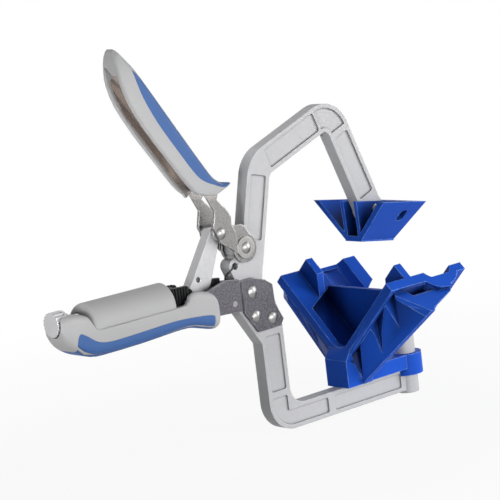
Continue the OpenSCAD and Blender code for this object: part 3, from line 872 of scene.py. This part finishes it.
@dataclass(frozen=True)
class Notch:
    """A notch in a flank: wide under the rim, deep at its valley, closing to a point near the crest.

    Attributes:
        mouth: where it starts and ends along the rim.
        valley: where its deepest point lies along the wing.
        tip: where its point lies along the wing.
        share: how far from rim to crest the point lies.
    """

    mouth: tuple[float, float]
    valley: float
    tip: float
    share: float

    def cutter(self, wing: Wing) -> bpy.types.Object:
        """The solid that cuts the notch.

        Args:
            wing: the wing.

        Returns:
            The new object.
        """
        edge, floor, outside = (2.9, 6.52), (7.7, 4.2), (-4.0, 16.0)  # x and o
        tip = [near + self.share * (far - near) for near, far in zip(RIM, crest(self.tip))]
        corners = ((edge, self.mouth[0]), (edge, self.mouth[1]), (tip, self.tip), (floor, self.valley),
                   (outside, sum(self.mouth) / 2))
        points = [on_wing(wing, x, s, o) for (x, o), s in corners]
        faces = [(3, 1, 0), (3, 2, 1), (3, 0, 2), (4, 0, 1), (4, 1, 2), (4, 2, 0)]
        return closed_solid("notch_cutter", points, faces)


@dataclass
class NotchedBlock:
    """The corner block with the notches of its flanks and the stepped ends of its wings.

    Attributes:
        name: the piece's name.
        node: the CAD node it stands for.
        notches: the notches of each flank.
        band: outer line of the curved plate at a wing's top end, as x and o.
        plain: part of a wing, along s, whose flank is made plain before it is notched.
        step: how far the wall behind the plate ends below the plate's own end.
        climb: how fast the end of that wall rises towards the crest.
        crease: angle, in degrees, above which an edge stays sharp.
    """

    name: str
    node: str
    notches: tuple[Notch, ...]
    band: tuple[tuple[float, float], ...]
    plain: tuple[float, float] = (-5.0, 62.0)
    step: float = 4.0
    climb: float = 0.2
    crease: float = 15.0

    def filler(self, wing: Wing) -> bpy.types.Object:
        """The solid that makes a flank plain again before it is notched.

        Args:
            wing: the wing.

        Returns:
            The new object.
        """
        rings: list[Vector] = []
        for s in self.plain:
            x, o = crest(s)
            # Just inside the rim and the crest, so that no two faces coincide, then well inside the wall
            section = ((3.02, 6.49), (x + 0.02, o - 0.02), (x + 2.0, o - 1.0), (11.5, 8.5), (8.5, 6.3))
            rings += [on_wing(wing, across, s, out) for across, out in section]
        return prism("flank_filler", rings)

    def end_cutter(self, wing: Wing) -> bpy.types.Object:
        """The solid that sets the wall behind a wing's plate lower, with a floor that climbs to the crest.

        Args:
            wing: the wing.

        Returns:
            The new object.
        """
        beyond_crest, above_wing = 34.0, 72.0
        (left, inner), (right, _) = self.band[0], self.band[-1]
        outline = [*self.band, (right, beyond_crest), (left, beyond_crest)]
        low = WING_TOP - self.step
        floor = [on_wing(wing, x, low + self.climb * (o - inner), o) for x, o in outline]
        return prism("end_cutter", floor + [on_wing(wing, x, above_wing, o) for x, o in outline])

    def build(self, wardrobe: Wardrobe) -> bpy.types.Object:
        """Makes the block in place of its solid.

        Args:
            wardrobe: the built materials.

        Returns:
            The new piece.
        """
        tools = [(Carve.JOIN, self.filler(wing)) for wing in Wing]
        tools += [(Carve.CUT, self.end_cutter(wing)) for wing in Wing]
        tools += [(Carve.CUT, notch.cutter(wing)) for wing in Wing for notch in self.notches]
        piece = carved(self.name, self.node, tools, self.crease)
        wardrobe.dress(piece, Slot.BLOCK_BLUE)
        return piece


# Outer line of the plate at a wing's top end, as x and o, and the notches of a flank
BAND = ((-2.0, 6.3), (21.2, 6.3), (30.0, 6.6), (32.8, 10.1), (37.7, 13.6), (46.3, 14.4), (55.0, 12.5), (66.2, 6.3),
        (70.0, 6.3))
NOTCHES = (
    Notch(mouth=(2.0, 16.6), valley=7.5, tip=-4.5, share=0.9),
    Notch(mouth=(31.2, 51.8), valley=35.3, tip=20.7, share=0.8),
    Notch(mouth=(53.5, 67.0), valley=58.5, tip=41.1, share=0.82),
)


# Studio


def stand(piece: bpy.types.Object, place: Point, aim: Point, front: str) -> None:
    """Stands an object in a place, with its front turned to a point.

    Args:
        piece: the object.
        place: where it stands, in metres.
        aim: what it faces.
        front: its own axis that points to the aim.
    """
    piece.location = place
    piece.rotation_mode = "QUATERNION"
    piece.rotation_quaternion = (Vector(aim) - Vector(place)).to_track_quat(front, "Y")


def sheet(name: str, width: float, height: float) -> bpy.types.Object:
    """A flat rectangle round the origin.

    Args:
        name: the object's name.
        width: its width, in metres.
        height: its height, in metres.

    Returns:
        The new object.
    """
    w, h = width / 2, height / 2
    mesh = bpy.data.meshes.new(name)
    mesh.from_pydata([(-w, -h, 0), (w, -h, 0), (w, h, 0), (-w, h, 0)], [], [(0, 1, 2, 3)])
    return placed(name, mesh)


def painted(name: str, piece: bpy.types.Object) -> Graph:
    """Gives an object a new, empty material.

    Args:
        name: the material's name.
        piece: the object.

    Returns:
        The graph of the material.
    """
    material = bpy.data.materials.new(name)
    material.use_nodes = True
    piece.data.materials.append(material)
    return Graph(material.node_tree)


@dataclass(frozen=True)
class Lamp:
    """A soft square lamp.

    Attributes:
        name: the lamp's name.
        place: where it stands, in metres.
        aim: what it points at.
        size: side of the lamp, in metres.
        power: its power, in watts.
        beam: how wide its light spreads, in degrees.
    """

    name: str
    place: Point
    aim: Point
    size: float
    power: float
    beam: float = 180.0

    def build(self) -> None:
        """Adds the lamp to the scene."""
        data = bpy.data.lights.new(self.name, "AREA")
        data.size, data.energy, data.spread = self.size, self.power, math.radians(self.beam)
        holder = bpy.data.objects.new(self.name, data)
        bpy.context.scene.collection.objects.link(holder)
        stand(holder, self.place, self.aim, "-Z")


@dataclass(frozen=True)
class DarkCard:
    """A dark card out of the camera's sight, for bright metal to mirror.

    Attributes:
        name: the card's name.
        place: its centre, in metres.
        aim: what it faces.
        width: its width, in metres.
        height: its height, in metres.
        tone: its colour, linear.
    """

    name: str
    place: Point
    aim: Point
    width: float
    height: float
    tone: Colour = (0.02, 0.02, 0.022)

    def build(self) -> None:
        """Adds the card to the scene."""
        card = sheet(self.name, self.width, self.height)
        stand(card, self.place, self.aim, "Z")
        graph = painted(self.name, card)
        paint = graph.add("ShaderNodeBsdfDiffuse", None, Color=opaque(self.tone))
        graph.add("ShaderNodeOutputMaterial", None, Surface=paint.outputs[0])
        card.visible_camera = False
        card.visible_diffuse = False
        card.visible_shadow = False


CENTRE = (0.0, 0.0, 0.12)
LAMPS = (
    Lamp("key", place=(0.15, -1.35, 0.12), aim=(0.0, 0.0, 0.09), size=0.7, power=12.5),
    Lamp("side", place=(1.1, -0.7, 0.3), aim=CENTRE, size=0.6, power=9.0),
    Lamp("top", place=(0.1, 0.9, 1.15), aim=CENTRE, size=0.7, power=4.5),
    Lamp("left", place=(-0.40, -0.14, 0.12), aim=(-0.13, 0.0, 0.17), size=0.12, power=0.1, beam=40.0),
    Lamp("low", place=(-0.12, -0.55, 0.04), aim=(0.07, -0.02, 0.01), size=0.1, power=0.055, beam=36.0),
)
CARDS = (
    DarkCard("dark_card_left", place=(-1.0, 0.25, 0.35), aim=CENTRE, width=0.5, height=0.9),
    DarkCard("dark_card_low", place=(-0.5, -0.5, -0.0002), aim=(-0.5, -0.5, 1.0), width=0.5, height=0.5),
)


@dataclass(frozen=True)
class Studio:
    """The floor, the soft light and the camera.

    Attributes:
        eye: where the camera stands, in metres.
        right: the picture's right.
        up: the picture's up.
        back: from the object to the camera.
        lens: focal length, in millimetres.
        sensor: width of the sensor, in millimetres.
        fill_side: where most of the fill light comes from.
        fill: strength of the fill light on its weak side and on its strong side.
        floor_side: side of the floor, in metres.
        floor_drop: how far the floor lies under the part, in metres.
        floor_tone: brightness of the floor's paint.
        fade: distances, in metres, between which the floor runs into the backdrop.
        glow: share of the backdrop that the floor shows at those distances.
    """

    eye: Point = (-0.7554, -0.9124, 0.3051)
    right: Point = (0.74808, -0.65260, -0.12037)
    up: Point = (0.19316, 0.04060, 0.98033)
    back: Point = (-0.63488, -0.75661, 0.15643)
    lens: float = 144.0
    sensor: float = 36.0
    fill_side: Point = (0.65, -0.6, 0.45)
    fill: tuple[float, float] = (0.03, 0.24)
    floor_side: float = 12.0
    floor_drop: float = 0.0005
    floor_tone: float = 0.7
    fade: tuple[float, float] = (0.15, 0.5)
    glow: tuple[float, float] = (0.92, 1.0)

    def camera(self) -> None:
        """Stands the camera where the photograph was taken from."""
        data = bpy.data.cameras.new("camera")
        data.sensor_width, data.lens = self.sensor, self.lens
        data.clip_start, data.clip_end = 0.05, 20.0
        holder = bpy.data.objects.new("camera", data)
        bpy.context.scene.collection.objects.link(holder)
        turn = Matrix((self.right, self.up, self.back)).transposed().to_4x4()
        holder.matrix_world = Matrix.Translation(self.eye) @ turn
        bpy.context.scene.camera = holder

    @staticmethod
    def shown_share(graph: Graph) -> bpy.types.NodeSocket:
        """Tells rays that show the backdrop as it is from those that carry light.

        Args:
            graph: the shader graph that asks.

        Returns:
            The socket of a mask, 1 for rays that show and 0 for rays that light.
        """
        path = graph.add("ShaderNodeLightPath")
        seen = graph.math("ADD", path.outputs["Is Camera Ray"], path.outputs["Is Glossy Ray"], True)
        return graph.math("ADD", seen, path.outputs["Is Transmission Ray"], True)

    def world(self) -> None:
        """A white backdrop that fills more from the front right than from the left."""
        world = bpy.data.worlds.new("backdrop")
        bpy.context.scene.world = world
        world.use_nodes = True
        graph = Graph(world.node_tree)
        lean = graph.add("ShaderNodeVectorMath", {"operation": "DOT_PRODUCT"})
        graph.feed(lean.inputs[0], graph.add("ShaderNodeTexCoord").outputs["Generated"])
        graph.feed(lean.inputs[1], self.fill_side)
        ahead = graph.math("ADD", graph.math("MULTIPLY", lean.outputs["Value"], 0.5), 0.5, True)
        fill = graph.spread(ahead, *self.fill)
        strength = graph.spread(self.shown_share(graph), fill, 1.0)
        light = graph.add("ShaderNodeBackground", None, Color=opaque(WHITE), Strength=strength)
        graph.add("ShaderNodeOutputWorld", None, Surface=light.outputs[0])

    def floor(self) -> None:
        """A pale floor that runs into the backdrop and keeps a faint shadow."""
        floor = sheet("floor", self.floor_side, self.floor_side)
        floor.location.z = -self.floor_drop
        graph = painted("pale_floor", floor)
        paint = graph.add("ShaderNodeBsdfDiffuse", None, Color=opaque((self.floor_tone,) * 3))
        glow = graph.add("ShaderNodeEmission", None, Color=opaque(WHITE), Strength=1.0)
        away = graph.add("ShaderNodeVectorMath", {"operation": "LENGTH"})
        graph.feed(away.inputs[0], graph.add("ShaderNodeNewGeometry").outputs["Position"])
        fade = graph.add("ShaderNodeMapRange", None, Value=away.outputs["Value"], From_Min=self.fade[0],
                         From_Max=self.fade[1], To_Min=self.glow[0], To_Max=self.glow[1])
        mixed = graph.add("ShaderNodeMixShader")
        graph.feed(mixed.inputs[0], graph.math("MULTIPLY", self.shown_share(graph), fade.outputs[0]))
        graph.feed(mixed.inputs[1], paint.outputs[0])
        graph.feed(mixed.inputs[2], glow.outputs[0])
        graph.add("ShaderNodeOutputMaterial", None, Surface=mixed.outputs[0])

    def build(self) -> None:
        """Sets up the whole studio."""
        self.camera()
        self.world()
        self.floor()
        for item in (*LAMPS, *CARDS):
            item.build()
        bpy.context.scene.view_settings.view_transform = "Standard"


def main() -> None:
    """Builds the studio and the pieces in order."""
    logging.basicConfig(level=logging.INFO)
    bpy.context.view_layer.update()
    Studio().build()
    wardrobe = Wardrobe()
    wardrobe.dress_solids()
    pull = CoilSpring(
        "return_spring_coil", "return_spring", start=(-13.9, 0.0, 93.8), finish=(-12.3, 0.0, 102.2), radius=2.6,
        wire=0.45, turns=7,
        before=((-12.7, 0.0, 88.5), (-14.5, 0.0, 86.7), (-16.6, 0.0, 89.0), (-15.4, 0.0, 91.4), (-14.2, 0.0, 92.2)),
        after=((-12.0, 0.0, 103.8), (-11.4, -1.5, 106.4), (-10.3, -5.1, 108.2), (-7.4, -5.3, 110.6),
               (-6.5, -4.0, 110.7), (-6.5, 4.4, 110.7), (-7.2, 5.6, 109.4)))
    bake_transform(pull.build(wardrobe))
    push = CoilSpring(
        "pressure_spring_coil", "pressure_spring", start=(-101.0, 0.0, 103.0), finish=(-59.0, 0.0, 103.0), radius=4.5,
        wire=0.9, turns=10)
    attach(push.build(wardrobe), Body.FRAME.value)
    rod = ThreadedRod(
        "pressure_screw_thread", "pressure_screw", ends=(-134.0, -58.3), height=103.0, crest=2.98, root=2.5, pitch=1.25)
    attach(rod.build(wardrobe), Body.KNOB.value)
    slide = GroovedSlide(
        "slide_block_grooved", "slide_block", places=GROOVES, width=1.0, depth=0.9, half=7.7, foot=92.0)
    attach(slide.build(wardrobe), Body.FRAME.value)
    block = NotchedBlock("corner_block_notched", "corner_block", notches=NOTCHES, band=BAND)
    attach(block.build(wardrobe), Body.FRAME.value)


if __name__ == "__main__":
    main()
